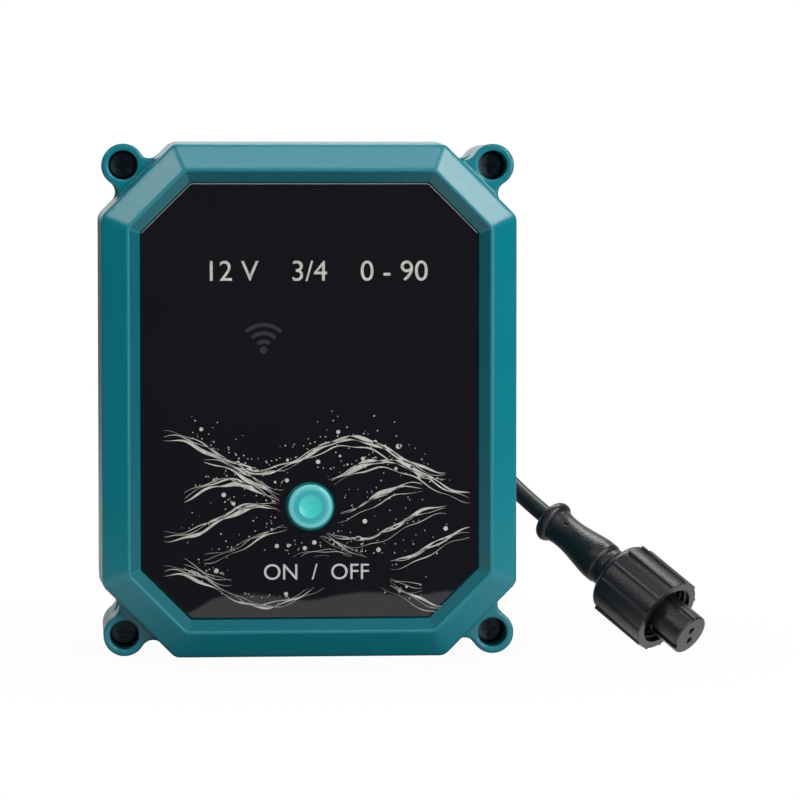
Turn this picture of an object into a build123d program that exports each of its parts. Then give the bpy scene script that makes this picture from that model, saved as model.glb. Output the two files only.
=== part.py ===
from build123d import *
from math import acos, atan2, cos, degrees, hypot, pi, radians, sin, sqrt, tan
import os

os.makedirs("parts", exist_ok=True)

# The housing is drawn lying on its back: x to its right, y up its face and z towards the viewer, with
# z = 0 at its flat back. At the end it is stood up, with z up and its face towards -y.

# Housing
body_width = 105.0
body_height = 129.5
body_depth = 42.0
corner_cut = 18.5
corner_radius = 3.0
wall = 2.4
floor_thick = 2.8
cover_depth = 24.0
side_draft = 0.75
back_edge_radius = 2.0
rim_width = 5.6
rim_height = 3.2

# Bezel and the recess for the face panel
bezel_drop = 3.5
bezel_slope = 6.3
ridge_flat = 0.5
ridge_radius = 0.55
front_edge_radius = 0.9
recess_slope = 2.7
recess_drop = 2.6
panel_thick = 1.2
panel_gap = 0.35
panel_edge = 0.2
adhesive_thick = 0.2
adhesive_margin = 3.0

# Ears and their screws
ear_side_margin = 6.25
ear_end_margin = 6.0
ear_radius = 5.3
ear_blend = 3.0
ear_front_drop = 8.5
ear_back_rise = 2.5
counterbore_radius = 3.65
screw_sink = 10.0
head_radius = 3.3
head_height = 2.4
shank_radius = 1.75
screw_gap = 0.05
clear_hole_radius = 2.1
screw_length = 16.0
cross_width = 0.9
cross_length = 3.6
cross_depth = 1.2
head_round = 0.7

# Gasket between the two shells
gasket_inset = 2.0
gasket_width = 2.0
gasket_thick = 1.5

# Button
button_drop = 26.3
button_radius = 5.65
button_hole_gap = 0.45
button_stand = 0.9
button_round = 0.8
dish_radius = 2.9
dish_depth = 0.35
flange_radius = 7.4
flange_thick = 1.2
seal_thick = 0.5
seal_width = 1.1
button_travel = 0.8
stop_gap_share = 1 / 8
plunger_lift_share = 1 / 4
button_stem_radius = 2.4

# Circuit board and what it carries
board_thick = 1.6
board_width = 80.0
led_place_share = 0.145
terminal_place_share = 0.4
board_top = 19.0
board_bottom = -54.0
board_cut = 9.0
board_gap = 6.6
boss_radius = 3.0
boss_inset = 5.0
board_screw_radius = 1.1
board_head_radius = 2.3
board_head_height = 1.6
board_screw_length = 6.0
switch_side = 6.2
switch_height = 3.5
plunger_radius = 1.75
plunger_well = 1.4
running_gap = 0.05
radio_width = 16.0
radio_length = 24.0
radio_height = 2.6
radio_board_thick = 0.8
antenna_length = 6.0
terminal_width = 11.0
terminal_length = 8.0
terminal_height = 9.0
terminal_screw_share = 1 / 4
terminal_screw_radius = 1.6
capacitor_radius = 4.0
capacitor_round_share = 1 / 8
capacitor_length = 12.0
driver_width = 5.0
driver_length = 6.2
driver_height = 1.5
led_side = 3.0
led_height = 1.1

# Gear train, from the motor down to the valve stem
pressure_angle = 25.0
dedendum_share = 1.25
backlash = 0.12
output_module = 1.0
output_teeth = 44
second_module = 0.8
second_teeth = 40
first_module = 0.6
first_teeth = 40
pinion_teeth = 12
second_direction = 60.0
first_direction = 167.5
motor_direction = 159.4
gear_lift = 6.3
output_face = 4.5
second_face = 2.8
first_face = 2.4
layer_gap = 0.8
axle_radius = 1.5
axle_boss_radius = 3.2
hub_radius = 6.5
journal_radius = 4.0
gear_web_share = 0.5
web_rim = 2.6
plate_thick = 2.0
plate_left = -38.0
plate_right = 28.0
plate_top = 52.0
plate_bottom = -20.0
plate_corner = 5.0
post_radius = 3.5
plate_screw_radius = 1.25
plate_head_radius = 2.5
plate_head_height = 1.8
plate_screw_length = 10.0
motor_radius = 12.2
motor_length = 12.3
motor_flat = 10.4
motor_collar_radius = 3.0
motor_collar_height = 1.2
can_round_share = 1 / 4
motor_shaft_radius = 1.0
motor_screw_pitch = 17.0
motor_screw_radius = 1.0
motor_head_radius = 1.9
motor_head_height = 1.3
magnet_radius = 2.0
magnet_length = 2.0
magnet_place = 17.0
sensor_board_width = 9.0
sensor_board_length = 18.0
sensor_board_thick = 1.0
sensor_side = 3.0
sensor_height = 1.0

# Valve behind the housing
pipe_drop = 24.5
port_radius = 12.06
port_length = 15.5
hex_across = 37.0
hex_length = 14.0
barrel_radius = 18.5
ball_radius = 12.5
bore_radius = 8.5
chamber_radius = 14.2
chamber_half_length = 13.5
seat_start = 8.0
ball_gap = 0.03
fitting_radius = 15.6
fitting_length = 6.5
neck_radius = 11.0
flange_side = 39.0
valve_flange_thick = 5.0
flange_corner = 5.0
valve_screw_pitch = 28.0
valve_screw_radius = 1.75
valve_head_radius = 3.0
valve_head_height = 2.2
valve_screw_length = 7.0
valve_screw_gap = 0.25
stem_radius = 4.0
stem_foot_radius = 5.6
stem_foot_thick = 1.8
foot_sink_share = 0.2
stem_square = 5.6
tang_width = 4.0
tang_length = 9.0
tang_depth = 2.6
groove_depth = 1.1
groove_width = 1.5
ring_lift = 2.2
ring_pitch = 3.0
bush_radius = 6.2
bush_flange_radius = 8.0
bush_flange_thick = 1.0
gasket_ring_inner = 8.5
gasket_ring_outer = 10.6
gasket_ring_thick = 1.0

# Cable entry in the back
gland_right = 37.5
gland_up = 45.5
gland_thread_radius = 6.2
gland_bore_radius = 3.6
gland_across = 15.0
gland_hex_length = 4.0
gland_inner_length = 6.6
locknut_across = 15.0
locknut_thick = 3.2
gland_nut_length = 8.6
gland_nut_radius = 7.6
gland_nose_radius = 4.4
gland_nut_overlap = 2.2
jacket_tail = 2.0
lead_radius = 0.75
lead_spread = 1.2
lead_bend = 1.6

# Cable and connector
cable_radius = 2.35
flare_radius = 5.6
flare_thick = 3.4
neck_start_radius = 4.6
waist_radius = 4.35
shoulder_radius = 5.65
barrel_end_radius = 5.35
waist_place = 9.0
shoulder_place = 18.3
shoulder_length = 2.2
nut_place = 25.6
nut_length = 18.1
nut_radius = 9.75
nut_front_radius = 10.05
nut_wall = 1.75
nut_floor = 3.0
nut_gap = 0.07
nut_round = 2.0
nut_ribs = 12
nut_rib_height = 0.35
nut_rib_width = 0.7
collar_radius = 7.4
collar_thick = 2.4
ring_groove_depth = 0.45
ring_groove_width = 0.6
ring_groove_shares = (1.5, 2.5)
seal_round_share = 1 / 3
insert_radius = 5.45
insert_reach = 8.5
insert_root_radius = 6.2
contact_radius = 0.95
contact_bore_radius = 0.6
contact_depth = 9.0
contact_bore_share = 0.75
notch_turn = 100.0
dimple_angles = (20.0, 200.0)
contact_sink = 0.4
contact_pitch = 3.4
key_width = 0.8
key_depth = 0.35
notch_width = 1.8
notch_depth = 0.8
seal_ring_radius = 6.9
seal_ring_length = 1.8
dimple_radius = 0.45
dimple_depth = 0.7

# Where the connector lies and the way the cable takes to it, in the upright frame
connector_direction = Vector(0.624, -0.574, -0.529)
connector_start = Vector(63.84, -4.52, 32.4)
first_run = 17.0
last_run = 24.5
cable_points = [
    (38.0, 42.8, 99.9),
    (39.2, 48.4, 81.9),
    (41.1, 41.7, 64.0),
]

overrun = 1.0
flat_margin = 0.001

# Places worked out from the sizes above
half_width = body_width / 2
half_height = body_height / 2
parting_height = body_depth - cover_depth
wall_top = body_depth - bezel_drop
panel_front = body_depth - recess_drop
panel_seat = panel_front - panel_thick - adhesive_thick
inner_front = panel_seat - wall
recess_inset = side_draft + bezel_slope + ridge_flat + recess_slope
ear_front = body_depth - ear_front_drop
screw_seat = ear_front - screw_sink - head_height
rear_reach = pipe_drop + barrel_radius
ear_x = half_width - ear_side_margin
ear_y = half_height - ear_end_margin
ear_places = [(sx * ear_x, sy * ear_y) for sx in (-1, 1) for sy in (-1, 1)]
upright = Pos(0, (body_depth - rear_reach) / 2, half_height) * Rot(90, 0, 0)
nodes = {}


def octagon(inset=0.0, radius=corner_radius):
    """Outline of the housing, moved inwards by inset."""
    x = half_width - inset
    y = half_height - inset
    cut = corner_cut - inset * (2 - sqrt(2))
    points = [(x, y - cut), (x - cut, y), (cut - x, y), (-x, y - cut)]
    points += [(-px, -py) for px, py in points]
    outline = make_face(Polyline(*points, close=True))
    return fillet(outline.vertices(), radius) if radius > 0 else outline


def prism(outline, low, high):
    """Solid of one outline between two heights."""
    return extrude(Pos(0, 0, low) * outline, amount=high - low)


def slope(low_outline, low, high_outline, high):
    """Straight-sided solid from one outline to another of the same make."""
    return loft([Pos(0, 0, low) * low_outline, Pos(0, 0, high) * high_outline], ruled=True)


def rod(radius, low, high, x=0.0, y=0.0):
    """Round bar along z."""
    return Pos(x, y, (low + high) / 2) * Cylinder(radius, high - low)


def block(width, length, low, high, x=0.0, y=0.0):
    """Square-edged block that stands at one height."""
    return Pos(x, y, (low + high) / 2) * Box(width, length, high - low)


def turned(points):
    """Solid of revolution about z from (radius, height) points."""
    return revolve(Plane.XZ * make_face(Polyline(*points, close=True)), Axis.Z)


def group(shapes):
    """Separate solids that share one node."""
    return Compound(children=list(shapes))


def edges_at(shape, height):
    """Edges that lie flat at one height."""
    return shape.edges().filter_by_position(Axis.Z, height - flat_margin, height + flat_margin)


def ear_outline(inset):
    """Housing outline at one inset with its four blended ears."""
    outline = octagon(inset)
    for place in ear_places:
        outline += Pos(*place) * Circle(ear_radius)
    corners = [
        corner
        for corner in outline.vertices()
        for x, y in ear_places
        if hypot(corner.X - x, corner.Y - y) < ear_radius + flat_margin
    ]
    return fillet(corners, ear_blend)


# Front cover: drafted wall, outer chamfer, ridge, inner slope and the flat seat of the panel
ridge_inset = side_draft + bezel_slope
ear_inset = side_draft * (ear_front - parting_height) / (wall_top - parting_height)
button_place = (0.0, -button_drop)
board_front = inner_front - board_gap
board_back = board_front - board_thick
boss_low = board_bottom + board_cut + boss_radius
boss_high = board_top - boss_inset
boss_side = board_width / 2 - boss_inset
boss_places = [(sx * boss_side, y) for sx in (-1, 1) for y in (boss_low, boss_high)]
guide_radius = flange_radius + button_hole_gap

cover = slope(octagon(), parting_height, octagon(side_draft), wall_top)
cover += slope(octagon(side_draft), wall_top, octagon(ridge_inset), body_depth)
front_edges = edges_at(cover, wall_top)
cover = fillet(front_edges, front_edge_radius)
cover += prism(ear_outline(ear_inset), parting_height, ear_front)
panel_corner = panel_thick
cover -= slope(
    octagon(recess_inset, panel_corner), panel_front,
    octagon(ridge_inset + ridge_flat, panel_corner), body_depth,
)
cover -= prism(octagon(recess_inset, panel_corner), panel_seat, panel_front)
ridge_edges = edges_at(cover, body_depth)
cover = fillet(ridge_edges, ridge_radius)
cover -= prism(octagon(rim_width), parting_height, parting_height + rim_height)
cover -= prism(octagon(side_draft + wall), parting_height + rim_height, inner_front)
for x, y in ear_places:
    cover -= rod(counterbore_radius, screw_seat, ear_front + overrun, x, y)
    cover -= rod(clear_hole_radius, parting_height - overrun, screw_seat, x, y)
cover -= rod(button_radius + button_hole_gap, inner_front - overrun, panel_seat + overrun, *button_place)
guide_low = inner_front - seal_thick - flange_thick - button_travel
cover += rod(guide_radius + wall / 2, guide_low, inner_front, *button_place) - rod(
    guide_radius, guide_low, inner_front, *button_place
)
for x, y in boss_places:
    cover += rod(boss_radius, board_front, inner_front, x, y)
    cover -= rod(board_screw_radius, board_front - overrun, inner_front - wall / 2, x, y)
nodes["front_cover"] = cover

# Face panel on its adhesive sheet
panel_outline = octagon(recess_inset + panel_gap, panel_corner)
button_hole = Pos(*button_place) * Circle(button_radius + button_hole_gap)
adhesive_low = panel_seat
panel_low = panel_seat + adhesive_thick
panel = prism(panel_outline - button_hole, panel_low, panel_front)
nodes["face_panel"] = chamfer(edges_at(panel, panel_front), panel_edge)
adhesive_outline = octagon(recess_inset + adhesive_margin, panel_corner)
adhesive_outline -= Pos(*button_place) * Circle(guide_radius)
nodes["panel_adhesive"] = prism(adhesive_outline, adhesive_low, panel_low)

# Button: a dished cap that stands proud, held behind the cover by its flange
seal_low = inner_front - seal_thick
flange_low = seal_low - flange_thick
switch_top = board_front + switch_height
stop_gap = button_travel * stop_gap_share
plunger_low = switch_top - plunger_well + button_travel + stop_gap
plunger_top = (switch_top + flange_low) / 2 + button_travel * plunger_lift_share
cap = rod(button_radius, flange_low, panel_front + button_stand, *button_place)
cap = fillet(cap.edges().sort_by(Axis.Z)[-1], button_round)
dish_size = (dish_radius**2 + dish_depth**2) / (2 * dish_depth)
cap_top = panel_front + button_stand
cap -= Pos(*button_place, cap_top - dish_depth + dish_size) * Sphere(dish_size)
cap += rod(flange_radius, flange_low, seal_low, *button_place)
cap += rod(button_stem_radius, plunger_top, flange_low, *button_place)
nodes["manual_button"] = cap
seal = rod(button_radius + button_hole_gap + seal_width, seal_low, inner_front, *button_place)
nodes["button_seal"] = seal - rod(button_radius, seal_low, inner_front, *button_place)
nodes["switch_plunger"] = rod(plunger_radius, plunger_low, plunger_top, *button_place)
switch = block(switch_side, switch_side, board_front, switch_top, *button_place)
switch -= rod(plunger_radius + running_gap, switch_top - plunger_well, switch_top, *button_place)
nodes["tact_switch"] = switch

# Circuit board under four bosses of the cover
board_x = board_width / 2
board_points = [
    (board_x, board_top), (-board_x, board_top),
    (-board_x, board_bottom + board_cut), (board_cut - board_x, board_bottom),
    (board_x - board_cut, board_bottom), (board_x, board_bottom + board_cut),
]
board_outline = make_face(Polyline(*board_points, close=True))
for place in boss_places:
    board_outline -= Pos(*place) * Circle(board_screw_radius + running_gap)
nodes["circuit_board"] = prism(board_outline, board_back, board_front)
board_screws = []
for x, y in boss_places:
    head = rod(board_head_radius, board_back - board_head_height, board_back, x, y)
    shank_top = board_back + board_screw_length
    board_screws.append(head + rod(board_screw_radius, board_back, shank_top, x, y))
nodes["board_screws"] = group(board_screws)

radio_x = board_x - radio_width
radio_y = board_top - radio_length / 2 - antenna_length
radio_low = board_front + radio_board_thick
radio = block(radio_width, radio_length + antenna_length, board_front, radio_low,
              radio_x, radio_y + antenna_length / 2)
radio += block(radio_width - radio_board_thick, radio_length - radio_board_thick, radio_low,
               radio_low + radio_height, radio_x, radio_y)
nodes["radio_module"] = radio
led_x = -board_width * led_place_share
led_y = board_top - led_side
nodes["signal_led"] = block(led_side, led_side, board_front, board_front + led_height, led_x, led_y)
driver_x = -board_x / 2
driver_y = -driver_length
nodes["motor_driver"] = block(
    driver_width, driver_length, board_front, board_front + driver_height, driver_x, driver_y
)
terminal_x = board_x - terminal_width
terminal_y = -board_width * terminal_place_share
terminal_low = board_back - terminal_height
terminal = block(terminal_width, terminal_length, terminal_low, board_back, terminal_x, terminal_y)
terminal_screw_top = terminal_low + terminal_height * terminal_screw_share
for side in (-1, 1):
    screw_x = terminal_x + side * terminal_width / 4
    terminal -= rod(terminal_screw_radius, terminal_low, terminal_screw_top,
                    screw_x, terminal_y)
nodes["power_terminal"] = terminal
capacitor_place = Pos(-board_x / 2, terminal_y, board_back - capacitor_radius)
capacitor = Cylinder(capacitor_radius, capacitor_length)
capacitor = fillet(capacitor.edges().filter_by(GeomType.CIRCLE), capacitor_radius * capacitor_round_share)
nodes["smoothing_capacitor"] = capacitor_place * Rot(90, 0, 0) * capacitor


def gear_outline(module, teeth, turn):
    """Involute gear outline with one tooth centred at turn degrees."""
    pitch = module * teeth / 2
    base = pitch * cos(radians(pressure_angle))
    tip = pitch + module
    root = pitch - module * dedendum_share
    start = max(base, root)
    tooth_half = (pi * module - backlash) / (4 * pitch)
    tooth_half += tan(radians(pressure_angle)) - radians(pressure_angle)

    def flank(radius, side, middle):
        angle = acos(min(1, base / radius))
        half = tooth_half - tan(angle) + angle
        return radius * cos(middle + side * half), radius * sin(middle + side * half)

    edges = []
    last = None
    first = None
    for tooth in range(teeth):
        middle = radians(turn) + 2 * pi * tooth / teeth
        rise = [flank(radius, -1, middle) for radius in (start, (start + tip) / 2, tip)]
        fall = [flank(radius, 1, middle) for radius in (tip, (start + tip) / 2, start)]
        low = [rise[0], fall[-1]]
        if root < start:
            low = [(px * root / start, py * root / start) for px, py in low]
            edges += [Line(low[0], rise[0]), Line(fall[-1], low[1])]
        edges += [ThreePointArc(*rise), Line(rise[-1], fall[0]), ThreePointArc(*fall)]
        if last:
            edges.append(Line(last, low[0]))
        first = first or low[0]
        last = low[1]
    edges.append(Line(last, first))
    return make_face(edges)


def pocketed(wheel, module, teeth, low, high, hub):
    """Wheel with a ring-shaped recess in each face, between hub and rim."""
    rim = module * (teeth / 2 - 1.25) - web_rim
    depth = (high - low) * (1 - gear_web_share) / 2
    for start, end in ((low, low + depth), (high - depth, high)):
        wheel -= rod(rim, start, end) - rod(hub, start, end)
    return wheel


def polar(distance, direction):
    """Offset in the plane of the gears."""
    return distance * cos(radians(direction)), distance * sin(radians(direction))


# Levels of the three gear layers under the plate
output_top = gear_lift + output_face
second_low = output_top + layer_gap
second_top = second_low + second_face
first_low = second_top + layer_gap
first_top = first_low + first_face
plate_low = first_top + layer_gap + layer_gap / 2
plate_high = plate_low + plate_thick
motor_top = plate_high + motor_length

# Gear centres at their true centre distances
second_x, second_y = polar(output_module * (output_teeth + pinion_teeth) / 2, second_direction)
step_x, step_y = polar(second_module * (second_teeth + pinion_teeth) / 2, first_direction)
first_x, first_y = second_x + step_x, second_y + step_y
step_x, step_y = polar(first_module * (first_teeth + pinion_teeth) / 2, motor_direction)
motor_x, motor_y = first_x + step_x, first_y + step_y
axle_hole_radius = axle_radius + running_gap

output_turn = second_direction + 180 / output_teeth
output_gear = prism(gear_outline(output_module, output_teeth, output_turn), gear_lift, output_top)
output_gear = pocketed(output_gear, output_module, output_teeth, gear_lift, output_top,
                       hub_radius + web_rim)
hub_low = floor_thick + bush_flange_thick + running_gap * 6
hub_top = second_low
stem_top = hub_top - wall / 2
square_low = gear_lift - web_rim / 2
output_gear += rod(hub_radius, hub_low, hub_top)
output_gear += rod(journal_radius, hub_top, plate_high)
output_gear -= block(stem_square, stem_square, hub_low - overrun, stem_top)
output_gear -= rod(stem_radius, hub_low - overrun, square_low)
magnet_angles = (160.0, 110.0)
magnets = []
for angle in magnet_angles:
    spot = polar(magnet_place, angle)
    output_gear += rod(magnet_radius + web_rim / 2, gear_lift, output_top, *spot)
    magnets.append(rod(magnet_radius, gear_lift, gear_lift + magnet_length, *spot))
    output_gear -= magnets[-1]
nodes["output_gear"] = output_gear
nodes["position_magnets"] = group(magnets)

second = prism(gear_outline(second_module, second_teeth, first_direction + 180 / second_teeth),
               second_low, second_top)
second = pocketed(second, second_module, second_teeth, second_low, second_top,
                  axle_boss_radius + web_rim)
second += prism(gear_outline(output_module, pinion_teeth, second_direction + 180),
                gear_lift, second_low)
second -= rod(axle_hole_radius, gear_lift, second_top)
nodes["second_idler_gear"] = Pos(second_x, second_y) * second

first = prism(gear_outline(first_module, first_teeth, motor_direction + 180 / first_teeth),
              first_low, first_top)
first = pocketed(first, first_module, first_teeth, first_low, first_top,
                 axle_boss_radius + web_rim / 2)
first += prism(gear_outline(second_module, pinion_teeth, first_direction + 180),
               second_low, first_low)
first -= rod(axle_hole_radius, second_low, first_top)
nodes["first_idler_gear"] = Pos(first_x, first_y) * first

pinion = prism(gear_outline(first_module, pinion_teeth, motor_direction + 180),
               first_low, first_top + layer_gap)
nodes["motor_pinion"] = Pos(motor_x, motor_y) * pinion - rod(
    motor_shaft_radius, first_low, first_top + layer_gap, motor_x, motor_y
)
nodes["motor_shaft"] = rod(
    motor_shaft_radius, first_low, plate_high + motor_collar_height, motor_x, motor_y
)

# Steel axles, seated in bosses of the shell and in the plate
axle_low = floor_thick / 2
idler_places = [(second_x, second_y, gear_lift), (first_x, first_y, second_low)]
nodes["idler_axles"] = group([rod(axle_radius, axle_low, plate_high, x, y) for x, y, _ in idler_places])

# Gearbox plate on four posts
plate_width = plate_right - plate_left
plate_length = plate_top - plate_bottom
plate_middle = Pos((plate_left + plate_right) / 2, (plate_top + plate_bottom) / 2)
plate_outline = plate_middle * RectangleRounded(plate_width, plate_length, plate_corner)
post_places = [
    (x, y)
    for x in (plate_left + plate_corner, plate_right - plate_corner)
    for y in (plate_bottom + plate_corner, plate_top - plate_corner)
]
plate = prism(plate_outline, plate_low, plate_high)
for x, y in post_places:
    plate -= rod(plate_screw_radius + running_gap, plate_low, plate_high, x, y)
for x, y, _ in idler_places:
    plate -= rod(axle_radius, plate_low, plate_high, x, y)
plate -= rod(journal_radius + running_gap, plate_low, plate_high)
motor_screw_places = [
    (motor_x + side * motor_screw_pitch / 2, motor_y) for side in (-1, 1)
]
plate -= rod(motor_collar_radius, plate_low, plate_high, motor_x, motor_y)
for x, y in motor_screw_places:
    plate -= rod(motor_screw_radius + running_gap, plate_low, plate_high, x, y)
window_radius = hub_radius + web_rim
window_x = plate_right - post_radius * 2 - window_radius
plate -= rod(window_radius, plate_low, plate_high, -window_x, 0)
nodes["gearbox_plate"] = plate
plate_screws = []
for x, y in post_places:
    head = rod(plate_head_radius, plate_high, plate_high + plate_head_height, x, y)
    plate_screws.append(head + rod(plate_screw_radius, plate_high - plate_screw_length, plate_high, x, y))
nodes["plate_screws"] = group(plate_screws)

# Motor on the plate, with its shaft pointing down through it
motor_can = rod(motor_radius, plate_high, motor_top)
motor_can &= block(motor_radius * 2, motor_flat * 2, plate_high, motor_top)
motor_can = fillet(edges_at(motor_can, motor_top), wall * can_round_share)
motor_can += rod(motor_collar_radius - running_gap, plate_high - motor_collar_height, plate_high)
motor_can += rod(motor_collar_radius, motor_top, motor_top + motor_collar_height / 2)
motor_can -= rod(motor_shaft_radius + running_gap, plate_low, plate_high + motor_collar_height)
motor_can = Pos(motor_x, motor_y) * motor_can
motor_screws = []
for x, y in motor_screw_places:
    motor_can -= rod(motor_screw_radius, plate_high - overrun, plate_high + plate_thick, x, y)
    head = rod(motor_head_radius, plate_low - motor_head_height / 2, plate_low, x, y)
    motor_screws.append(head + rod(motor_screw_radius, plate_low, plate_high + plate_thick, x, y))
nodes["drive_motor"] = motor_can
nodes["motor_screws"] = group(motor_screws)

# Board on the floor that senses the two end positions
sensor_x = -magnet_place
sensor_top = floor_thick + sensor_board_thick
sensor_board = block(sensor_board_width, sensor_board_length, floor_thick, sensor_top, sensor_x, 0)
for side in (-1, 1):
    spot_y = side * magnet_place * sin(radians(180 - magnet_angles[0]))
    sensor_board += block(sensor_side, sensor_side, sensor_top, sensor_top + sensor_height,
                          sensor_x, spot_y)
nodes["sensor_board"] = sensor_board

# Back shell: straight walls, sealing rim, ears, gearbox posts and axle bosses
gland_place = (gland_right, gland_up)
pilot_depth = screw_seat - screw_length - overrun
valve_screw_places = [
    (sx * valve_screw_pitch / 2, sy * valve_screw_pitch / 2) for sx in (-1, 1) for sy in (-1, 1)
]
shell = prism(octagon(), 0, parting_height)
shell = fillet(edges_at(shell, 0), back_edge_radius)
shell += prism(ear_outline(0), ear_back_rise, parting_height)
rim_low = parting_height - rim_height
shell -= prism(octagon(wall), floor_thick, rim_low - rim_height)
shell -= slope(octagon(wall), rim_low - rim_height, octagon(rim_width), rim_low)
shell -= prism(octagon(rim_width), rim_low, parting_height)
gasket_low = parting_height - gasket_thick
gasket = prism(octagon(gasket_inset) - octagon(gasket_inset + gasket_width), gasket_low, parting_height)
shell -= gasket
nodes["cover_gasket"] = gasket
for x, y in ear_places:
    shell -= rod(shank_radius + screw_gap, pilot_depth, parting_height, x, y)
for x, y in post_places:
    shell += rod(post_radius, floor_thick, plate_low, x, y)
    shell -= rod(plate_screw_radius + running_gap, plate_high - plate_screw_length - overrun,
                 plate_low, x, y)
for x, y, gear_low in idler_places:
    shell += rod(axle_boss_radius, floor_thick, gear_low - running_gap * 6, x, y)
    shell -= rod(axle_radius, axle_low, gear_low, x, y)
shell -= rod(bush_radius, -overrun, floor_thick)
for x, y in valve_screw_places:
    shell -= rod(valve_screw_radius + valve_screw_gap, -overrun, floor_thick, x, y)
shell -= rod(gland_thread_radius + running_gap, -overrun, floor_thick, *gland_place)
nodes["back_shell"] = shell

# Cover screws, their cross-recessed heads deep in the ears
cover_screws = []
for x, y in ear_places:
    head = rod(head_radius, screw_seat, screw_seat + head_height)
    head = fillet(head.edges().sort_by(Axis.Z)[-1], head_round)
    for width, length in ((cross_width, cross_length), (cross_length, cross_width)):
        head -= block(width, length, screw_seat + head_height - cross_depth, screw_seat + head_height)
    cover_screws.append(Pos(x, y) * (head + rod(shank_radius, screw_seat - screw_length, screw_seat)))
nodes["cover_screws"] = group(cover_screws)


def lengthways(radius, start, end):
    """Round bar along the pipe, whose axis lies pipe_drop behind the housing."""
    return Pos(0, (start + end) / 2, -pipe_drop) * Rot(90, 0, 0) * Cylinder(radius, end - start)


def hex_lengthways(across, start, end):
    """Hexagonal end along the pipe, with its corners turned off."""
    flat = extrude(RegularPolygon(across / 2, 6, major_radius=False), amount=(end - start) / 2, both=True)
    corner_radius = across / sqrt(3)
    turned_off = Cylinder(corner_radius, end - start)
    turned_off = chamfer(turned_off.edges().filter_by(GeomType.CIRCLE), corner_radius - across / 2)
    return Pos(0, (start + end) / 2, -pipe_drop) * Rot(90, 0, 0) * (flat & turned_off)


# Valve body: flange against the shell, neck, barrel and the lower port
barrel_end = chamber_half_length + fitting_length
valve_half_length = barrel_end + hex_length
flange_bottom = -valve_flange_thick
body = prism(RectangleRounded(flange_side, flange_side, flange_corner), flange_bottom, 0)
body += rod(neck_radius, -pipe_drop, flange_bottom)
body += lengthways(barrel_radius, -barrel_end, barrel_end)
body += hex_lengthways(hex_across, -valve_half_length, -barrel_end)
body -= lengthways(chamber_radius, -chamber_half_length, chamber_half_length)
body -= lengthways(fitting_radius, chamber_half_length, barrel_end)
port_floor = valve_half_length - port_length
body -= lengthways(bore_radius, -port_floor, -chamber_half_length)
body -= lengthways(port_radius, -valve_half_length, -port_floor)
chamber_sag = chamber_radius - sqrt(chamber_radius**2 - stem_foot_radius**2)
foot_top = chamber_radius - pipe_drop + chamber_sag * foot_sink_share
foot_low = foot_top - stem_foot_thick
body -= rod(stem_foot_radius + running_gap, foot_low - overrun, foot_top)
body -= rod(stem_radius + running_gap, foot_top, 0)
valve_gasket = rod(gasket_ring_outer, -gasket_ring_thick, 0) - rod(gasket_ring_inner, -gasket_ring_thick, 0)
body -= valve_gasket
valve_screw_low = floor_thick - valve_screw_length
for x, y in valve_screw_places:
    body -= rod(valve_screw_radius, valve_screw_low, 0, x, y)
nodes["valve_body"] = body
nodes["valve_gasket"] = valve_gasket

# Screwed end that closes the chamber and holds the upper port
fitting = lengthways(fitting_radius - running_gap, chamber_half_length, barrel_end)
fitting += hex_lengthways(hex_across, barrel_end, valve_half_length)
fitting -= lengthways(bore_radius, chamber_half_length, port_floor)
fitting -= lengthways(port_radius, port_floor, valve_half_length)
nodes["end_fitting"] = fitting

# Ball between its two seats, with a slot across the flow for the stem
ball_middle = Pos(0, 0, -pipe_drop)
ball_top = ball_radius - pipe_drop
seats = []
for side in (-1, 1):
    start, end = sorted((side * seat_start, side * chamber_half_length))
    seat = lengthways(chamber_radius - running_gap, start, end)
    seat -= lengthways(bore_radius, start, end)
    seats.append(seat - ball_middle * Sphere(ball_radius + ball_gap))
nodes["ball_seats"] = group(seats)
ball = ball_middle * Sphere(ball_radius) - lengthways(bore_radius, -ball_radius, ball_radius)
tang_low = ball_top - tang_depth
ball -= block(tang_length, tang_width, tang_low, ball_top)
nodes["valve_ball"] = ball

# Stem: foot that cannot blow out, two seal grooves, round shank and square head
stem = rod(stem_foot_radius, foot_low, foot_top - running_gap)
stem_tang = block(tang_length, tang_width, tang_low, foot_low)
stem += stem_tang & rod(tang_length / 2, tang_low, foot_low)
stem += rod(stem_radius, foot_top - running_gap, square_low)
stem += block(stem_square, stem_square, square_low, stem_top)
groove_floor = stem_radius - groove_depth
ring_section = (groove_depth + running_gap / 2) / 2
stem_rings = []
for place in (foot_top + ring_lift, foot_top + ring_lift + ring_pitch):
    groove = (place - groove_width / 2, place + groove_width / 2)
    stem -= rod(stem_radius, *groove) - rod(groove_floor, *groove)
    stem_rings.append(Pos(0, 0, place) * Torus(groove_floor + ring_section, ring_section))
nodes["valve_stem"] = stem
nodes["stem_o_rings"] = group(stem_rings)
bush = rod(bush_radius, 0, floor_thick)
bush += rod(bush_flange_radius, floor_thick, floor_thick + bush_flange_thick)
nodes["stem_bush"] = bush - rod(stem_radius + running_gap, 0, floor_thick + bush_flange_thick)
valve_screws = []
for x, y in valve_screw_places:
    head = rod(valve_head_radius, floor_thick, floor_thick + valve_head_height, x, y)
    valve_screws.append(head + rod(valve_screw_radius, valve_screw_low, floor_thick, x, y))
nodes["valve_screws"] = group(valve_screws)

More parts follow.
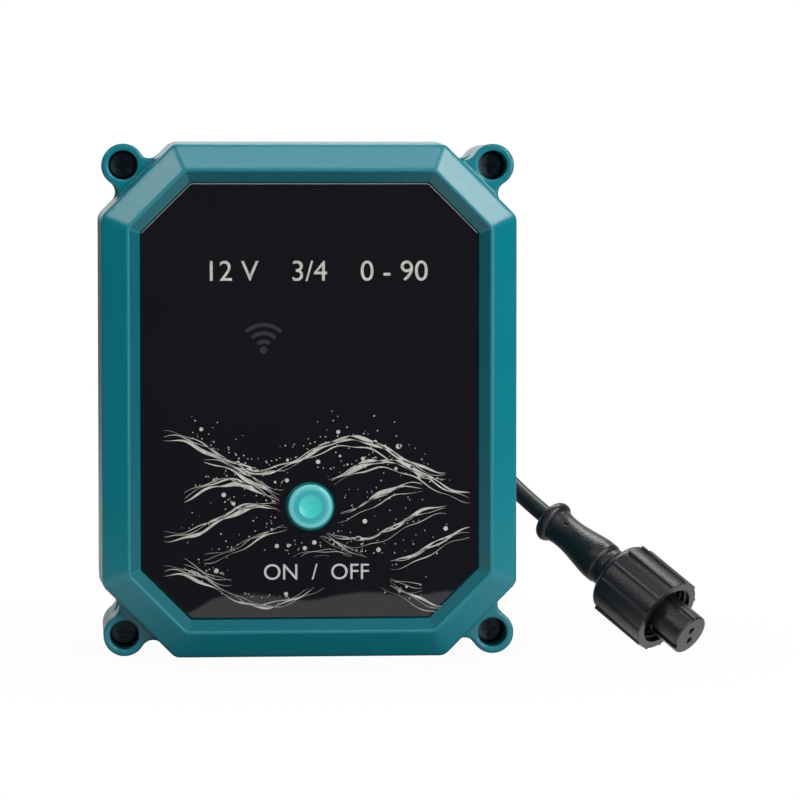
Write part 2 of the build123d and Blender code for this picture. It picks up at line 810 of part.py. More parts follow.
# Cable gland through the back, its locknut, rubber sleeve and domed nut
hexagon = RegularPolygon(gland_across / 2, 6, major_radius=False)
nut_low = -gland_hex_length - gland_nut_length
thread_low = -gland_hex_length - gland_nut_length + gland_nut_overlap + gland_nut_overlap / 2
gland = prism(hexagon, -gland_hex_length, 0)
gland += rod(gland_thread_radius, thread_low, gland_inner_length)
gland -= rod(gland_bore_radius, thread_low, gland_inner_length)
nodes["cable_gland"] = Pos(*gland_place) * gland
locknut_top = floor_thick + locknut_thick
locknut = prism(RegularPolygon(locknut_across / 2, 6, major_radius=False), floor_thick, locknut_top)
locknut -= rod(gland_thread_radius, floor_thick, locknut_top)
nodes["gland_locknut"] = Pos(*gland_place) * locknut
sleeve_top = gland_inner_length - gland_nut_overlap
sleeve = rod(gland_bore_radius, thread_low, sleeve_top) - rod(cable_radius, thread_low, sleeve_top)
nodes["gland_seal"] = Pos(*gland_place) * sleeve
dome_start = -gland_hex_length - gland_nut_length / 2
dome = turned([
    (0, -gland_hex_length), (gland_nut_radius, -gland_hex_length), (gland_nut_radius, dome_start),
    (gland_nose_radius, nut_low), (0, nut_low),
])
dome = fillet(edges_at(dome, dome_start), gland_nut_overlap)
grip = prism(RegularPolygon(gland_nut_radius, 6, major_radius=False), nut_low, -gland_hex_length)
dome &= grip
dome -= rod(gland_thread_radius, thread_low, -gland_hex_length)
dome -= rod(cable_radius, nut_low, thread_low)
nodes["gland_nut"] = Pos(*gland_place) * dome

# Jacket end inside the gland, then two leads along the wall to the power terminal
jacket_top = gland_inner_length + jacket_tail
lead_high = terminal_low - web_rim
lead_in = terminal_low + lead_radius * 3
lead_side = half_width - wall - rim_width
supply = [Pos(*gland_place) * rod(cable_radius, nut_low, jacket_top)]
for side in (-1, 1):
    shift = side * lead_spread / sqrt(2)
    route = [
        (gland_right + shift, gland_up + shift, jacket_top),
        (gland_right + shift, gland_up + shift, jacket_top + lead_bend * 2),
        (lead_side + shift, gland_up / 2 + shift, lead_high),
        (lead_side + shift, terminal_y / 2 + shift, lead_high),
        (terminal_x + terminal_width + shift, terminal_y + shift, lead_in),
        (terminal_x + terminal_width / 2, terminal_y + shift, lead_in),
    ]
    wire = FilletPolyline(*route, radius=lead_bend)
    supply.append(sweep(Plane(wire @ 0, z_dir=wire % 0) * Circle(lead_radius), wire))
nodes["supply_leads"] = group(supply)
motor_leads = []
for side in (-1, 1):
    lead_x = motor_x + side * motor_collar_radius
    lead_z = board_front + lead_radius * 3
    route = [
        (lead_x, motor_y - motor_flat, lead_z),
        (lead_x, board_top - lead_radius * 4, lead_z),
        (lead_x, board_top - lead_radius * 4, board_front),
    ]
    wire = FilletPolyline(*route, radius=lead_radius * 2)
    motor_leads.append(sweep(Plane(wire @ 0, z_dir=wire % 0) * Circle(lead_radius), wire))
nodes["motor_leads"] = group(motor_leads)

nodes = {name: upright * shape for name, shape in nodes.items()}


def ring_cut(radius, depth, width, place):
    """Square groove round a bar."""
    low = place - width / 2
    high = place + width / 2
    return rod(radius + overrun, low, high) - rod(radius - depth, low, high)


# Connector, drawn along z from the rear of its flare to its tip
nut_end = nut_place + nut_length
tip = nut_end + insert_reach
collar_low = nut_place + nut_floor + running_gap * 6
collar_high = collar_low + collar_thick
flare_middle = flare_thick / 2
groove_places = [shoulder_place + shoulder_length * share for share in ring_groove_shares]
with_curve = [
    (neck_start_radius, flare_thick), (waist_radius, waist_place),
    ((waist_radius + shoulder_radius) / 2, (waist_place + shoulder_place) / 2),
    (shoulder_radius, shoulder_place),
]
shoulder_end = shoulder_place + shoulder_length
profile = [
    Line((0, 0), (flare_radius - flare_middle, 0)),
    ThreePointArc((flare_radius - flare_middle, 0), (flare_radius, flare_middle),
                  (flare_radius - flare_middle, flare_thick)),
    Line((flare_radius - flare_middle, flare_thick), with_curve[0]),
    Spline(*with_curve),
    Line(with_curve[-1], (shoulder_radius, shoulder_end)),
    Line((shoulder_radius, shoulder_end), (barrel_end_radius, shoulder_end + ring_groove_depth)),
    Line((barrel_end_radius, shoulder_end + ring_groove_depth), (barrel_end_radius, collar_low)),
    Line((barrel_end_radius, collar_low), (collar_radius, collar_low)),
    Line((collar_radius, collar_low), (collar_radius, collar_high)),
    Line((collar_radius, collar_high), (0, collar_high)),
    Line((0, collar_high), (0, 0)),
]
overmould = revolve(Plane.XZ * make_face(profile), Axis.Z)
for place in groove_places:
    overmould -= ring_cut(barrel_end_radius, ring_groove_depth, ring_groove_width, place)
dimple_place = flare_thick + flare_thick
for angle in dimple_angles:
    start = Plane.XY * Rot(0, 0, angle) * Pos(waist_radius, 0, dimple_place) * Rot(0, 90, 0)
    overmould -= start * Cylinder(dimple_radius, dimple_depth * 2)

# Insert: keyed plug with two contacts, in front of the collar
insert = rod(insert_root_radius, collar_high, collar_high + seal_ring_length)
insert += rod(insert_radius, collar_high, tip)
insert = fillet(edges_at(insert, tip), ring_groove_depth)
contact_places = [(side * contact_pitch / 2, 0) for side in (-1, 1)]
contacts = []
for x, y in contact_places:
    insert -= rod(contact_radius, tip - contact_depth, tip, x, y)
    contact = rod(contact_radius, tip - contact_depth, tip - contact_sink, x, y)
    contacts.append(contact - rod(contact_bore_radius, tip - contact_depth * contact_bore_share, tip, x, y))
insert -= block(key_depth * 2, key_width, collar_high + seal_ring_length * 2, tip, insert_radius, 0)
notch = block(notch_depth * 2, notch_width, nut_end, tip, insert_radius, 0)
insert -= Rot(0, 0, notch_turn) * notch
seal_low = collar_high + seal_ring_length
insert_seal = rod(seal_ring_radius, seal_low, seal_low + seal_ring_length)
insert_seal = fillet(insert_seal.edges().filter_by(GeomType.CIRCLE), seal_ring_length * seal_round_share)
insert_seal -= rod(insert_radius, seal_low, seal_low + seal_ring_length)

# Coupling nut, held behind the collar and free to turn
nut_bore = nut_radius - nut_wall
nut = turned([
    (0, nut_place), (nut_radius, nut_place), (nut_front_radius, nut_end), (0, nut_end),
])
nut = fillet(edges_at(nut, nut_place), nut_round)
nut -= rod(nut_bore, nut_place + nut_floor, nut_end)
nut -= rod(barrel_end_radius + nut_gap, nut_place, nut_end)
rib_low = nut_place + nut_round
rib = block(nut_radius - nut_bore / 2, nut_rib_width, rib_low, nut_end, (nut_radius + nut_bore) / 2, 0)
rib &= rod(nut_front_radius + nut_rib_height, rib_low, nut_end)
rib -= rod(nut_radius - nut_wall / 2, rib_low, nut_end)
for number in range(nut_ribs):
    nut += Rot(0, 0, 360 * number / nut_ribs) * rib

# Stand the connector on its tip, with its contacts turned as they lie
contact_turn = 24.0
rise = Vector(0, 0, 1) - connector_direction * connector_direction.Z
seat = Location(Plane(connector_start, x_dir=rise, z_dir=connector_direction)) * Rot(0, 0, contact_turn)
nodes["connector_body"] = seat * overmould
nodes["connector_insert"] = seat * insert
nodes["contact_sockets"] = seat * group(contacts)
nodes["insert_seal"] = seat * insert_seal
nodes["coupling_nut"] = seat * nut

# Cable: straight runs and tangent arcs from the gland's mouth to the connector
gland_mouth = (upright * Pos(*gland_place, nut_low)).position
route = [gland_mouth, gland_mouth + Vector(0, first_run, 0)]
route += [Vector(*point) for point in cable_points]
route += [connector_start - connector_direction.normalized() * last_run, connector_start]
print("cable points", [tuple(round(value, 1) for value in point) for point in route])
runs = [after - before for before, after in zip(route, route[1:])]
radii = []
for before, after in zip(runs, runs[1:]):
    turn = radians(before.get_angle(after))
    radii.append(0.45 * min(before.length, after.length) / tan(turn / 2))
centre_line = FilletPolyline(*route, radius=radii)
cable = sweep(Plane(centre_line @ 0, z_dir=centre_line % 0) * Circle(cable_radius), centre_line)
nodes["cable"] = cable
print("cable runs", [round(run.length, 1) for run in runs])
print("cable radii", [round(radius, 1) for radius in radii])
print("cable length", round(centre_line.length, 1), "volume share",
      round(cable.volume / (pi * cable_radius**2 * centre_line.length), 4))

for name, shape in nodes.items():
    export_step(shape, f"parts/{name}.step")
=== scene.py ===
import math
import random

import bmesh
import bpy
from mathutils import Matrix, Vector


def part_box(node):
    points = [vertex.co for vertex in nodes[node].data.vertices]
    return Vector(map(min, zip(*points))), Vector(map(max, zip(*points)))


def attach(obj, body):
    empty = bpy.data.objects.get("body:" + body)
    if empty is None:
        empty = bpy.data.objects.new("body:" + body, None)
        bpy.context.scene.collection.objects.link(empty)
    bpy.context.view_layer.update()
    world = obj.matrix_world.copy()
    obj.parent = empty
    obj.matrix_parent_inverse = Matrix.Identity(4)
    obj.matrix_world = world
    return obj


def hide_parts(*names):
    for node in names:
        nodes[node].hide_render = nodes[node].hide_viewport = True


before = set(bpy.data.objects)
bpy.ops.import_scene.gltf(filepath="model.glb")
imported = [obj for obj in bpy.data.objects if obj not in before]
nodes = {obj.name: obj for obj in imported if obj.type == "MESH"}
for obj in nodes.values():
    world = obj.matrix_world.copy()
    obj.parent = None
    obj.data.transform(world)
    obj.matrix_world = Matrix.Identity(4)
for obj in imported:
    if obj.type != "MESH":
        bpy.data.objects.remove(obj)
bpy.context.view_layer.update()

mm = 0.001
scene = bpy.context.scene

buttonLow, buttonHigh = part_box("manual_button")
buttonX = (buttonLow.x + buttonHigh.x) / 2
buttonZ = (buttonLow.z + buttonHigh.z) / 2


def srgb(hexCode):
    # sRGB hex value to the linear colour that the shaders want
    values = [int(hexCode[i:i + 2], 16) / 255 for i in (1, 3, 5)]
    return [v / 12.92 if v <= 0.04045 else ((v + 0.055) / 1.055) ** 2.4 for v in values] + [1.0]


def addNode(tree, kind, settings=None, links=None):
    # one node with its settings and its incoming links, {input: (node, output)}
    node = tree.nodes.new(kind)
    for key, value in (settings or {}).items():
        if isinstance(key, str) and hasattr(node, key):
            setattr(node, key, value)
        else:
            node.inputs[key].default_value = value
    for key, (source, output) in (links or {}).items():
        tree.links.new(source.outputs[output], node.inputs[key])
    return node


# noise of every finish, how deep its grain is for its size, and how much of the noise counts as rubbed
noise = {"patchDetail": 3.0, "grainDetail": 4.0, "grainDepth": 0.2, "rubbedDetail": 5.0,
         "rubbedFrom": 0.5, "rubbedTo": 0.75, "bevelSamples": 6}


def surface(look):
    # plastic, rubber or metal: two close shades in soft patches, uneven gloss and a fine grain
    material = bpy.data.materials.new(look["name"])
    material.use_nodes = True
    tree = material.node_tree
    shader = tree.nodes["Principled BSDF"]
    place = addNode(tree, "ShaderNodeTexCoord")
    patches = addNode(tree, "ShaderNodeTexNoise",
                      {"Scale": 1 / (look["patchMm"] * mm), "Detail": noise["patchDetail"]},
                      {"Vector": (place, "Object")})
    shade = addNode(tree, "ShaderNodeMix", {"data_type": "RGBA"}, {0: (patches, 0)})
    shade.inputs[6].default_value = srgb(look["colours"][0])
    shade.inputs[7].default_value = srgb(look["colours"][1])
    tree.links.new(shade.outputs[2], shader.inputs["Base Color"])
    gloss = addNode(tree, "ShaderNodeMapRange",
                    {"To Min": look["roughness"][0], "To Max": look["roughness"][1]},
                    {"Value": (patches, 0)})
    if "marksMm" in look:
        rubbed = addNode(tree, "ShaderNodeTexNoise",
                         {"Scale": 1 / (look["marksMm"] * mm), "Detail": noise["rubbedDetail"]},
                         {"Vector": (place, "Object")})
        marks = addNode(tree, "ShaderNodeMapRange",
                        {"From Min": noise["rubbedFrom"], "From Max": noise["rubbedTo"],
                         "To Max": look["marks"]},
                        {"Value": (rubbed, 0)})
        gloss = addNode(tree, "ShaderNodeMath", {"operation": "ADD"}, {0: (gloss, 0), 1: (marks, 0)})
    tree.links.new(gloss.outputs[0], shader.inputs["Roughness"])
    grain = addNode(tree, "ShaderNodeTexNoise",
                    {"Scale": 1 / (look["grainMm"] * mm), "Detail": noise["grainDetail"]},
                    {"Vector": (place, "Object")})
    bump = addNode(tree, "ShaderNodeBump",
                   {"Strength": look["grain"], "Distance": look["grainMm"] * mm * noise["grainDepth"]},
                   {"Height": (grain, 0)})
    tree.links.new(bump.outputs[0], shader.inputs["Normal"])
    if look.get("edgeMm"):
        soft = addNode(tree, "ShaderNodeBevel",
                       {"samples": noise["bevelSamples"], "Radius": look["edgeMm"] * mm})
        tree.links.new(soft.outputs[0], bump.inputs["Normal"])
    shader.inputs["Metallic"].default_value = look.get("metallic", 0.0)
    if "ior" in look:
        shader.inputs["IOR"].default_value = look["ior"]
    shader.inputs["Coat Weight"].default_value = look.get("coat", 0.0)
    shader.inputs["Coat Roughness"].default_value = look.get("coatRoughness", 0.05)
    return material


# ABS moulded in a polished tool: even teal with a soft gloss and hairline handling marks
tealAbs = {"name": "mouldedAbs", "colours": ["#007c8a", "#008593"], "patchMm": 30, "roughness": (0.17, 0.25),
           "grainMm": 0.5, "grain": 0.05, "ior": 1.53, "edgeMm": 1.3, "marksMm": 0.7, "marks": 0.08}
# the same ABS with a worn, duller ridge, and darker on the slope down to the panel: the darker colour there is
# painted shade of the recess
ridgeAbs = {**tealAbs, "name": "wornAbs", "roughness": (0.45, 0.55)}
slopeShadeAbs = {**tealAbs, "name": "slopePaintedShadeAbs", "colours": ["#006672", "#006d79"],
            "roughness": (0.24, 0.32), "edgeMm": 0, "grain": 0.01, "marks": 0.015}
# acrylic sheet printed black from behind: deep black under a clear polished face
blackAcrylic = {"name": "backPrintedAcrylic", "colours": ["#15151a", "#1a1b20"], "patchMm": 40,
                "roughness": (0.02, 0.04), "grainMm": 6.0, "grain": 0.003, "ior": 1.49}
# translucent turquoise button moulded in the same polished way
buttonAbs = {"name": "turquoiseAbs", "outerMm": 5.65,
             "rings": [(0.0, "#44d6d0"), (0.49, "#44d6d0"), (0.54, "#3bb0b9"), (0.73, "#42b8c0"),
                       (0.80, "#6fd0d2"), (0.94, "#74d4d6"), (1.0, "#2f9aa0")],
             "colours": ["#2fb3b5", "#3cc0bd"], "patchMm": 6, "roughness": (0.25, 0.35),
             "grainMm": 0.4, "grain": 0.04, "ior": 1.53}
# nylon moulded in a spark-eroded tool: near black, satin, with a visible fine grain
blackNylon = {"name": "sparkGrainNylon", "colours": ["#121115", "#201e24"], "patchMm": 5,
              "roughness": (0.24, 0.36), "grainMm": 0.45, "grain": 1.0, "ior": 1.53, "edgeMm": 0.5}
# glass-filled nylon of the valve body: greyer and duller, with flow marks
filledNylon = {"name": "glassFilledNylon", "colours": ["#26272a", "#303135"], "patchMm": 12,
               "roughness": (0.5, 0.65), "grainMm": 0.5, "grain": 0.3, "ior": 1.53}
# extruded PVC jacket: smooth and slightly waxy
pvcJacket = {"name": "extrudedPvc", "colours": ["#141416", "#1d1d20"], "patchMm": 8,
             "roughness": (0.35, 0.45), "grainMm": 0.6, "grain": 0.08, "ior": 1.54}
siliconeRubber = {"name": "mouldedSilicone", "colours": ["#1c1c1e", "#252527"], "patchMm": 4,
                  "roughness": (0.6, 0.75), "grainMm": 0.3, "grain": 0.1, "ior": 1.41}
# zinc-plated steel screws: grey metal with soft roughness
zincSteel = {"name": "zincPlatedSteel", "colours": ["#8d9092", "#a4a7a8"], "patchMm": 2,
             "roughness": (0.28, 0.42), "grainMm": 0.2, "grain": 0.1, "metallic": 1.0}
# phosphate coat on the cover screws: dark, matte and not metallic at its surface
blackSteel = {"name": "phosphatedSteel", "colours": ["#59636d", "#68727c"], "patchMm": 2,
              "roughness": (0.5, 0.65), "grainMm": 0.2, "grain": 0.15, "ior": 1.6}
# edge of the acrylic sheet, cut with a saw: pale and matte, and given only to faces that look up, so its
# paleness there is a painted highlight of the light from above
cutEdgeHighlight = surface({"name": "cutAcrylicEdgeHighlight", "colours": ["#8e9193", "#b4b7b9"], "patchMm": 4,
                   "roughness": (0.4, 0.6), "grainMm": 0.3, "grain": 0.2, "ior": 1.49})
turnedBrass = {"name": "turnedBrass", "colours": ["#c9a35a", "#d8b56d"], "patchMm": 2,
               "roughness": (0.22, 0.34), "grainMm": 0.2, "grain": 0.1, "metallic": 1.0}
# silvered contacts sunk in their bores, coloured near black as painted shade of the bores
boreShadeContact = {"name": "silverPaintedBoreShade", "colours": ["#0c0b0a", "#151412"], "patchMm": 1,
               "roughness": (0.35, 0.5), "grainMm": 0.2, "grain": 0.1, "metallic": 1.0}
acetal = {"name": "mouldedAcetal", "colours": ["#dcdcd4", "#e6e6df"], "patchMm": 6,
          "roughness": (0.3, 0.4), "grainMm": 0.4, "grain": 0.06, "ior": 1.48}
epoxyBoard = {"name": "glassEpoxyBoard", "colours": ["#12502c", "#185e35"], "patchMm": 5,
              "roughness": (0.3, 0.4), "grainMm": 0.6, "grain": 0.15, "ior": 1.55}
acrylicTape = {"name": "acrylicTape", "colours": ["#c9c8c0", "#d4d3cc"], "patchMm": 5,
               "roughness": (0.6, 0.7), "grainMm": 0.5, "grain": 0.1, "ior": 1.47}


def buttonMaterial(look):
    # colour rings on the translucent cap, by distance from its centre: bright rim, darker dish, bright centre
    material = surface(look)
    tree = material.node_tree
    place = addNode(tree, "ShaderNodeTexCoord")
    offset = addNode(tree, "ShaderNodeVectorMath", {"operation": "SUBTRACT", 1: (buttonX, 0, buttonZ)},
                     {0: (place, "Object")})
    flat = addNode(tree, "ShaderNodeVectorMath", {"operation": "MULTIPLY", 1: (1, 0, 1)}, {0: (offset, 0)})
    radius = addNode(tree, "ShaderNodeVectorMath", {"operation": "LENGTH"}, {0: (flat, 0)})
    share = addNode(tree, "ShaderNodeMath", {"operation": "DIVIDE", 1: look["outerMm"] * mm},
                    {0: (radius, "Value")})
    rings = addNode(tree, "ShaderNodeValToRGB", None, {0: (share, 0)})
    ramp = rings.color_ramp
    while len(ramp.elements) < len(look["rings"]):
        ramp.elements.new(0.5)
    for element, (position, colour) in zip(ramp.elements, look["rings"]):
        element.position = position
        element.color = srgb(colour)
    tree.links.new(rings.outputs[0], tree.nodes["Principled BSDF"].inputs["Base Color"])
    return material


finishes = [
    (tealAbs, ["front_cover", "back_shell"]),
    (blackAcrylic, ["face_panel"]),
    (buttonAbs, ["manual_button"]),
    (blackNylon, ["connector_body", "connector_insert", "coupling_nut", "cable_gland", "gland_locknut",
                  "gland_nut", "tact_switch", "switch_plunger", "motor_driver", "smoothing_capacitor"]),
    (filledNylon, ["valve_body", "end_fitting"]),
    (pvcJacket, ["cable", "supply_leads", "motor_leads"]),
    (siliconeRubber, ["cover_gasket", "button_seal", "gland_seal", "insert_seal", "stem_o_rings",
                      "valve_gasket"]),
    (blackSteel, ["cover_screws"]),
    (zincSteel, ["board_screws", "plate_screws", "motor_screws", "valve_screws", "idler_axles",
                 "motor_shaft", "drive_motor", "gearbox_plate", "position_magnets", "radio_module"]),
    (turnedBrass, ["valve_stem", "motor_pinion"]),
    (boreShadeContact, ["contact_sockets"]),
    (acetal, ["output_gear", "second_idler_gear", "first_idler_gear", "stem_bush", "ball_seats", "valve_ball",
              "signal_led"]),
    (epoxyBoard, ["circuit_board", "sensor_board", "power_terminal"]),
    (acrylicTape, ["panel_adhesive"]),
]
made = {}
for look, names in finishes:
    made[look["name"]] = buttonMaterial(look) if "rings" in look else surface(look)
    for name in names:
        mesh = nodes[name].data
        mesh.materials.clear()
        mesh.materials.append(made[look["name"]])
# the cut edge: faces of the panel that look up, away from the hole of the button; only these get the pale
# colour, a painted highlight
upwardEdgeHighlight = {"upward": 0.3, "fromButtonMm": 8}
panelMesh = nodes["face_panel"].data
panelMesh.materials.append(cutEdgeHighlight)
for polygon in panelMesh.polygons:
    fromButton = math.hypot(polygon.center.x - buttonX, polygon.center.z - buttonZ)
    if polygon.normal.z > upwardEdgeHighlight["upward"] and fromButton > upwardEdgeHighlight["fromButtonMm"] * mm:
        polygon.material_index = 1
# the front rim of the cover: its inner slope and its ridge, told by how far their faces look inward
slope = {"depthMm": 6.0, "front": -0.3, "ridge": -0.3, "inward": 0.62}
coverMesh = nodes["front_cover"].data
# the darker teal of the inner slope is painted shade of the recess
coverMesh.materials.append(surface(slopeShadeAbs))
coverMesh.materials.append(surface(ridgeAbs))
coverLow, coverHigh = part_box("front_cover")
middle = (coverLow + coverHigh) / 2
for polygon in coverMesh.polygons:
    across = polygon.center - middle
    inward = -(polygon.normal.x * across.x + polygon.normal.z * across.z) / math.hypot(across.x, across.z)
    shallow = polygon.center.y < coverLow.y + slope["depthMm"] * mm
    if shallow and polygon.normal.y < slope["front"] and inward > slope["ridge"]:
        polygon.material_index = 1 if inward > slope["inward"] else 2
print("finishes on", sum(len(names) for look, names in finishes), "nodes")

# light prints on the face: a little uneven, as screen ink is
inkLook = {"patchMm": 2, "roughness": (0.4, 0.5), "grainMm": 0.3, "grain": 0.05, "ior": 1.5}
paleInk = surface({**inkLook, "name": "paleScreenInk", "colours": ["#7d786e", "#f2f0ea"]})
whiteInk = surface({**inkLook, "name": "whiteScreenInk", "colours": ["#c4c4c6", "#cdcdcf"]})
darkInk = surface({**inkLook, "name": "darkScreenInk", "colours": ["#1e1e22", "#242429"]})

# the ink lies just off the face
inkMm = 0.02
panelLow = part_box("face_panel")[0]
printFace = panelLow.y - inkMm * mm


def flatPiece(name, faces, material, depth=printFace):
    # flat shapes on or behind the face, each a list of (x, z) points
    shape = bmesh.new()
    for points in faces:
        shape.faces.new([shape.verts.new((x, depth, z)) for x, z in points])
    bmesh.ops.remove_doubles(shape, verts=shape.verts, dist=0.001 * mm)
    mesh = bpy.data.meshes.new(name)
    shape.to_mesh(mesh)
    shape.free()
    piece = bpy.data.objects.new(name, mesh)
    scene.collection.objects.link(piece)
    mesh.materials.append(material)
    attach(piece, "housing")


def circle(x, z, radius, corners):
    # corner points of a round shape
    turns = [2 * math.pi * i / corners for i in range(corners)]
    return [(x + radius * math.cos(a), z + radius * math.sin(a)) for a in turns]


def ribbon(points, widths):
    # quads along a flat line of changing width
    faces = []
    for i in range(len(points) - 1):
        quad = []
        for j, side in ((i, -1), (i + 1, -1), (i + 1, 1), (i, 1)):
            before, after = points[max(j - 1, 0)], points[min(j + 1, len(points) - 1)]
            dx, dz = after[0] - before[0], after[1] - before[1]
            size = math.hypot(dx, dz)
            quad.append((points[j][0] - side * dz / size * widths[j] / 2,
                         points[j][1] + side * dx / size * widths[j] / 2))
        faces.append(quad)
    return faces


# rim of the housing, seen as a dark teal ring in the gap round the button
gapRing = {"inner": 5.74, "outer": 6.06, "behind": 0.35, "corners": 64, "colours": ["#00807b", "#008a84"]}
ring = circle(buttonX, buttonZ, (gapRing["inner"] + gapRing["outer"]) / 2 * mm, gapRing["corners"])
ring.append(ring[0])
ringMaterial = surface({**tealAbs, "name": "mouldedAbsRim", "colours": gapRing["colours"]})
flatPiece("buttonGapRing", ribbon(ring, [(gapRing["outer"] - gapRing["inner"]) * mm] * len(ring)),
          ringMaterial, panelLow.y + gapRing["behind"] * mm)

signalMark = {"x": -11.6, "z": 77.5, "radii": (2.1, 4.2, 6.3), "line": 0.95, "half": 44, "dot": 0.95,
              "steps": 16}
faces = []
for radius in signalMark["radii"]:
    angles = [math.radians(90 + signalMark["half"] * (2 * i / signalMark["steps"] - 1))
              for i in range(signalMark["steps"] + 1)]
    arc = [((signalMark["x"] + radius * math.cos(a)) * mm, (signalMark["z"] + radius * math.sin(a)) * mm)
           for a in angles]
    faces += ribbon(arc, [signalMark["line"] * mm] * len(arc))
dot = circle(signalMark["x"] * mm, signalMark["z"] * mm, signalMark["dot"] * mm, signalMark["steps"])
flatPiece("signalMark", faces + [dot], darkInk)

# generic lettering: a rating line above and the two states of the switch below the button
letterings = {
    "ratingLine": {"text": "12 V    3/4    0 - 90", "x": 1.6, "z": 96.9, "size": 7.2, "ink": paleInk},
    "switchLabel": {"text": "ON  /  OFF", "x": 1.5, "z": 21.9, "size": 5.6, "ink": whiteInk},
}
for name, look in letterings.items():
    words = bpy.data.curves.new(name, "FONT")
    words.body = look["text"]
    words.size = look["size"] * mm
    words.align_x = "CENTER"
    words.align_y = "CENTER"
    words.materials.append(look["ink"])
    piece = bpy.data.objects.new(name, words)
    scene.collection.objects.link(piece)
    piece.location = (look["x"] * mm, printFace, look["z"] * mm)
    piece.rotation_euler = (math.radians(90), 0, 0)
    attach(piece, "housing")

# plain waves with bubbles over them, in the colours of pale water
waves = {"left": -36.5, "startStep": 5.0, "right": 40.0, "endStep": 6.0, "base": 17.5, "rise": 5.6, "count": 7,
         "swing": 4.2, "length": 46.0, "drift": 0.17, "line": 1.7, "taper": 9.0, "taperPower": 1.5,
         "least": 0.03, "endPower": 0.7, "swells": 5.0, "swellShift": 1.3, "thinnest": 0.15, "steps": 90,
         "pattern": 3, "seed": 4}
strands = {"count": 3, "weave": 1.1, "weaveTurns": 3.1, "finer": 1.6}
ripple = {"swing": 0.3, "length": 8.5, "waveShift": 2.0, "strandShift": 1.7}
bubbles = {"count": 620, "sideways": 1.6, "up": 3.2, "sizes": (0.07, 0.2), "larger": 2.2, "largerAbove": 0.92,
           "clear": 1.0, "corners": 10, "endsLeft": 8}
keepClear = {"button": 7.6, "labelHalf": 19.5, "labelLow": 18.4, "labelHigh": 25.6}


def roomLeft(x, z):
    # how far a point of the print lies from the button's and the label's own space, below zero inside it
    fromButton = math.hypot(x - buttonX, z - buttonZ) - keepClear["button"] * mm
    beside = abs(x - buttonX) - keepClear["labelHalf"] * mm
    above = max(z - keepClear["labelHigh"] * mm, keepClear["labelLow"] * mm - z)
    return min(fromButton, max(beside, above))


random.seed(waves["seed"])
faces, foam = [], []
for number in range(waves["count"]):
    start = waves["left"] + waves["startStep"] * (number % waves["pattern"])
    end = waves["right"] - waves["endStep"] * ((number + 1) % waves["pattern"])
    for strand in range(strands["count"]):
        points, widths = [], []
        for i in range(waves["steps"] + 1):
            share = i / waves["steps"]
            x = start + (end - start) * share
            z = waves["base"] + waves["rise"] * number
            z += waves["swing"] * math.sin(2 * math.pi * (x / waves["length"] + number * waves["drift"]))
            z += strand * strands["weave"] * math.sin(strands["weaveTurns"] * share + strand)
            z += ripple["swing"] * math.sin(2 * math.pi * x / ripple["length"]
                                            + ripple["waveShift"] * number + ripple["strandShift"] * strand)
            points.append((x * mm, z * mm))
            swell = abs(math.sin(waves["swells"] * share * math.pi + number + waves["swellShift"] * strand))
            thin = min(1.0, max(0.0, roomLeft(*points[-1]) / (waves["taper"] * mm)))
            full = waves["line"] / (1 + strands["finer"] * strand) * mm
            full *= max(0.0, math.sin(math.pi * share)) ** waves["endPower"]
            full *= waves["thinnest"] + (1 - waves["thinnest"]) * swell
            widths.append(full * thin ** waves["taperPower"] + waves["least"] * mm)
        faces += [quad for quad in ribbon(points, widths) if all(roomLeft(x, z) > 0 for x, z in quad)]
        foam += points[bubbles["endsLeft"]:-bubbles["endsLeft"]]
for number in range(bubbles["count"]):
    x, z = random.choice(foam)
    x += random.gauss(0, bubbles["sideways"]) * mm
    z += abs(random.gauss(0, bubbles["up"])) * mm
    size = random.uniform(*bubbles["sizes"]) * mm
    size *= 1 + bubbles["larger"] * (random.random() > bubbles["largerAbove"])
    if roomLeft(x, z) > bubbles["clear"] * mm:
        faces.append(circle(x, z, size, bubbles["corners"]))
flatPiece("wavePrint", faces, paleInk)
print("prints on the face")

# free cable: its own line from the gland to the connector
cableRoute = [
    (37.5, 12.1, 110.25), (37.5, 29.1, 110.25), (38.0, 42.8, 99.9), (39.2, 48.4, 81.9), (41.1, 41.7, 64.0),
    (48.56, 9.53, 45.35), (63.84, -4.52, 32.4),
]
cableSize = {"diameter": 4.7 * mm, "length": 0.1318, "order": 3, "steps": 24, "round": 8}
curve = bpy.data.curves.new("freeCable", "CURVE")
curve.dimensions = "3D"
line = curve.splines.new("NURBS")
line.points.add(len(cableRoute) - 1)
for point, place in zip(line.points, cableRoute):
    point.co = [value * mm for value in place] + [1.0]
line.order_u = cableSize["order"]
line.use_endpoint_u = True
line.resolution_u = cableSize["steps"]
curve.bevel_depth = cableSize["diameter"] / 2
curve.bevel_resolution = cableSize["round"]
curve.materials.append(made["extrudedPvc"])
freeCable = bpy.data.objects.new("freeCable", curve)
scene.collection.objects.link(freeCable)
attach(freeCable, "housing")
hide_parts("cable")
print("cable", cableSize["length"], "m")


